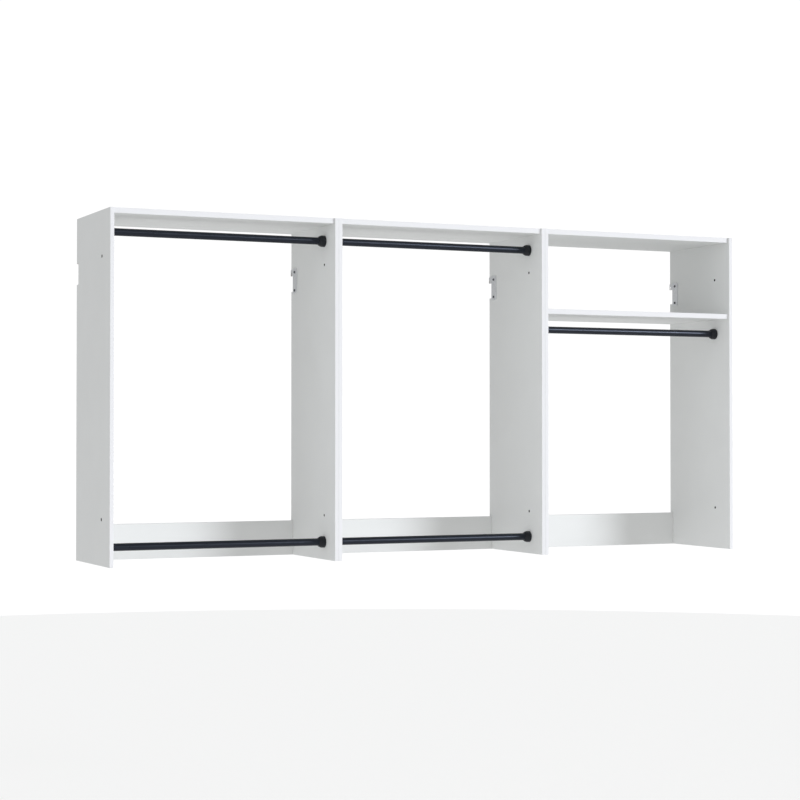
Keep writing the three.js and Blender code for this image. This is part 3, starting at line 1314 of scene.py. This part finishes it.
@dataclass
class Bracket:
    """Hook bracket: a strip beside the notch with a slotted tab that drops over the wall rail."""

    node: str
    hand: Hand
    strip_width: float = 35 * MM
    top_lap: float = 11 * MM
    strip_radius: float = 10 * MM
    hook_rise: float = 7 * MM
    hook_drop: float = 16 * MM
    nose: float = 3.8 * MM
    nose_radius: float = 1.6 * MM
    slot_width: float = 5 * MM
    slot_height: float = 12 * MM
    screw_hole: float = 2.05 * MM
    margin: float = 0.9 * MM
    ease: float = 0.3 * MM
    ease_steps: int = 2

    def build(self) -> Object:
        """Build the bracket.

        Returns:
            The bracket.
        """
        low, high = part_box(self.node)
        notch_top = high.z - self.top_lap
        rear = low.y + self.strip_width
        hook_top = notch_top + self.hook_rise
        hook_foot = notch_top - self.hook_drop
        slot_top = hook_foot + self.slot_height
        nose_front = high.y - self.nose
        slot_front = nose_front - self.slot_width
        corners = [
            (rear, low.z, 0.0),
            (rear, hook_foot, 0.0),
            (slot_front, hook_foot, 0.0),
            (slot_front, slot_top, 0.0),
            (nose_front, slot_top, 0.0),
            (nose_front, hook_foot, self.nose_radius),
            (high.y, hook_foot, self.nose_radius),
            (high.y, hook_top, self.nose_radius),
            (rear, hook_top, 0.0),
            (rear, high.z, 0.0),
            (low.y, high.z, self.strip_radius),
            (low.y, low.z, self.strip_radius),
        ]
        screws = [middle(f"{self.node}_{end}_screw") for end in ("upper", "lower")]
        bores = [Bore(screw.y, screw.z, self.screw_hole) for screw in screws]
        bm = Slab(corners, high.x - low.x, bores, self.margin).build()
        soften(bm, self.ease, self.ease_steps, lambda edge: True)
        worked = high.x if self.hand is Hand.LEFT else low.x
        place = axes(Y, Z, -self.hand.value * X, worked * X)
        bmesh.ops.transform(bm, matrix=place, verts=bm.verts)
        return make_piece(f"{self.node}_plate", bm, [Surface.ZINC], replaced=[self.node])


@dataclass(frozen=True)
class ScrewHead:
    """Head of a screw, with its outline from the driver face down to the neck.

    The outline's points are shares of the head's radius and height.
    """

    radius: float
    height: float
    outline: tuple[tuple[float, float], ...]


class HeadForm(Enum):
    """Heads of the closet's screws."""

    DOMED = ScrewHead(4.5 * MM, 2.4 * MM, (
        (0.55, 1.0), (0.78, 0.86), (0.94, 0.58), (1.0, 0.24), (1.0, 0.0)))
    SUNK = ScrewHead(3.8 * MM, 2.6 * MM, ((0.93, 1.0), (1.0, 0.94)))


@dataclass
class WoodScrew:
    """Wood screw with a cross recess, its head toward the middle of the unit."""

    node: str
    hand: Hand
    form: HeadForm
    shank: float = 1.75 * MM
    point: float = 2.2 * MM
    tip: float = 0.05 * MM
    recess_length: float = 4.4 * MM
    recess_width: float = 1.0 * MM
    recess_depth: float = 1.3 * MM

    def build(self) -> Object:
        """Build the screw.

        Returns:
            The screw.
        """
        low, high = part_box(self.node)
        head = self.form.value
        seat = high.x - low.x - head.height
        rings = [(out * head.radius, seat + up * head.height) for out, up in head.outline]
        rings += [(self.shank, seat), (self.shank, self.point), (self.tip, 0.0)]
        foot = low.x if self.hand is Hand.LEFT else high.x
        centre = middle(self.node)
        place = axes(Y, Z, -self.hand.value * X, Vector((foot, centre.y, centre.z)))
        bm = bmesh.new()
        DriverHead(rings, self.recess_length, self.recess_width, self.recess_depth).add(bm, place)
        return make_piece(f"{self.node}_turned", bm, [Surface.SCREW], replaced=[self.node])


@dataclass
class Unit:
    """One unit of the closet, with all its pieces."""

    plan: UnitPlan

    def build(self) -> int:
        """Build every piece of the unit.

        Returns:
            How many there are.
        """
        made = [SidePanel(self.plan, hand).build() for hand in Hand]
        for shelf in self.plan.shelves:
            made += Shelf(self.plan, shelf).build()
        made += BackRail(self.plan, self.plan.node("back_rail")).build()
        for rod in self.plan.rods:
            made.append(Rod(rod).build())
            for hand in Hand:
                cup = f"{rod}_{hand.word}_cup"
                made.append(Cup(cup, hand).build())
                made.append(WoodScrew(f"{cup}_screw", hand, HeadForm.SUNK).build())
        for hand in Hand:
            bracket = self.plan.node(f"{hand.word}_bracket")
            made.append(Bracket(bracket, hand).build())
            made += [WoodScrew(f"{bracket}_{end}_screw", hand, HeadForm.DOMED).build()
                     for end in ("upper", "lower")]
        return len(made)


# Camera and studio

@dataclass(frozen=True)
class Viewpoint:
    """Camera at the viewing angle of the photograph, worked out from the edges of the boards."""

    place: tuple[float, float, float] = (-2.9056, -6.3247, 0.3745)
    turn_right: float = 0.4327
    tilt_up: float = 0.0163
    focal_pixels: float = 1919.1
    image_pixels: int = 800
    sensor_mm: float = 36.0
    sight: float = 100.0

    def build(self) -> None:
        """Build the camera and make it the scene's."""
        camera = bpy.data.cameras.new("photo_camera")
        camera.sensor_width = self.sensor_mm
        camera.lens = self.focal_pixels / self.image_pixels * self.sensor_mm
        camera.clip_end = self.sight
        holder = bpy.data.objects.new("photo_camera", camera)
        flat = math.cos(self.tilt_up)
        gaze = Vector((math.sin(self.turn_right) * flat, math.cos(self.turn_right) * flat,
                       math.sin(self.tilt_up)))
        holder.rotation_euler = gaze.to_track_quat("-Z", "Y").to_euler()
        holder.location = self.place
        bpy.context.scene.collection.objects.link(holder)
        bpy.context.scene.camera = holder


@dataclass(frozen=True)
class FarLight:
    """Light so far away that it falls evenly, and wide enough to be soft.

    Its azimuth runs from straight in front of the closet to the right, as the camera sees it, and
    its elevation up from the level.
    """

    name: str
    azimuth: float
    elevation: float
    width: float
    strength: float
    colour: str = "#F7FAFF"

    def build(self) -> None:
        """Hang the light."""
        lamp = bpy.data.lights.new(self.name, "SUN")
        lamp.energy = self.strength
        lamp.angle = self.width
        lamp.color = linear_colour(self.colour)[:3]
        flat = math.cos(self.elevation)
        toward = Vector((math.sin(self.azimuth) * flat, -math.cos(self.azimuth) * flat,
                         math.sin(self.elevation)))
        holder = bpy.data.objects.new(self.name, lamp)
        holder.rotation_euler = toward.to_track_quat("Z", "Y").to_euler()
        bpy.context.scene.collection.objects.link(holder)


@dataclass(frozen=True)
class Studio:
    """Pale floor, white surroundings, a broad key light from the right, a low one from the left."""

    key: FarLight = FarLight("key_light", math.radians(38), math.radians(12), math.radians(22), 1.62)
    left: FarLight = FarLight("left_light", math.radians(-75), math.radians(8), math.radians(40), 0.43)
    fill_colour: str = "#FDFEFE"
    fill_level: float = 0.43
    backdrop_colour: str = "#FFFFFF"
    backdrop_level: float = 1.05
    floor_drop: float = 1.10
    floor_radius: float = 9.0
    floor_colour: str = "#BCBCBB"
    floor_roughness: float = 0.9
    floor_glow_colour: str = "#FFFFFF"
    floor_glow: float = 0.62
    floor_bounce: float = 0.44

    def build(self) -> None:
        """Build the lights, the surroundings and the floor."""
        self.key.build()
        self.left.build()
        self.surround()
        self.lay_floor()
        bpy.context.scene.view_settings.view_transform = "Standard"

    def surround(self) -> None:
        """Make the surroundings white to look at, and a softer grey as a source of light."""
        world = bpy.data.worlds.new("white_studio")
        bpy.context.scene.world = world
        world.use_nodes = True
        tree = world.node_tree
        output = tree.nodes["World Output"]
        fill = add_node(tree, "ShaderNodeBackground", inputs={
            "Color": linear_colour(self.fill_colour), "Strength": self.fill_level})
        white = add_node(tree, "ShaderNodeBackground", inputs={
            "Color": linear_colour(self.backdrop_colour), "Strength": self.backdrop_level})
        path = add_node(tree, "ShaderNodeLightPath")
        mixed = add_node(tree, "ShaderNodeMixShader", inputs={
            0: path.outputs["Is Camera Ray"], 1: fill.outputs[0], 2: white.outputs[0]})
        tree.links.new(mixed.outputs[0], output.inputs["Surface"])

    def lay_floor(self) -> None:
        """Lay a round pale floor, brighter to look at than the light that it throws back."""
        bm = bmesh.new()
        bmesh.ops.create_circle(bm, cap_ends=True, segments=FINE_ROUND, radius=self.floor_radius,
                                matrix=Matrix.Translation((0, 0, -self.floor_drop)))
        mesh = bpy.data.meshes.new("studio_floor")
        bm.to_mesh(mesh)
        bm.free()
        material = bpy.data.materials.new("pale_floor")
        material.use_nodes = True
        tree = material.node_tree
        shader = tree.nodes["Principled BSDF"]
        shader.inputs["Base Color"].default_value = linear_colour(self.floor_colour)
        shader.inputs["Roughness"].default_value = self.floor_roughness
        shader.inputs["Emission Color"].default_value = linear_colour(self.floor_glow_colour)
        path = add_node(tree, "ShaderNodeLightPath")
        glow = add_node(tree, "ShaderNodeMapRange", inputs={
            "Value": path.outputs["Is Camera Ray"],
            "To Min": self.floor_bounce,
            "To Max": self.floor_glow})
        tree.links.new(glow.outputs[0], shader.inputs["Emission Strength"])
        mesh.materials.append(material)
        floor = bpy.data.objects.new("studio_floor", mesh)
        bpy.context.scene.collection.objects.link(floor)
        floor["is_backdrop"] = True


def main() -> None:
    """Build the camera, the studio and the units, log how many pieces there are, and take the boxes of
    the solids and of the pieces.
    """
    logging.basicConfig(level=logging.INFO, format="%(name)s: %(message)s")
    Viewpoint().build()
    Studio().build()
    count = sum(Unit(UnitPlan(number)).build() for number in (1, 2, 3))
    LOG.info("%d pieces", count)
    boxes = {"cad": CAD_BOX, "visual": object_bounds()}
    {name: [list(low), list(high)] for name, (low, high) in boxes.items()}


if __name__ == "__main__":
    main()
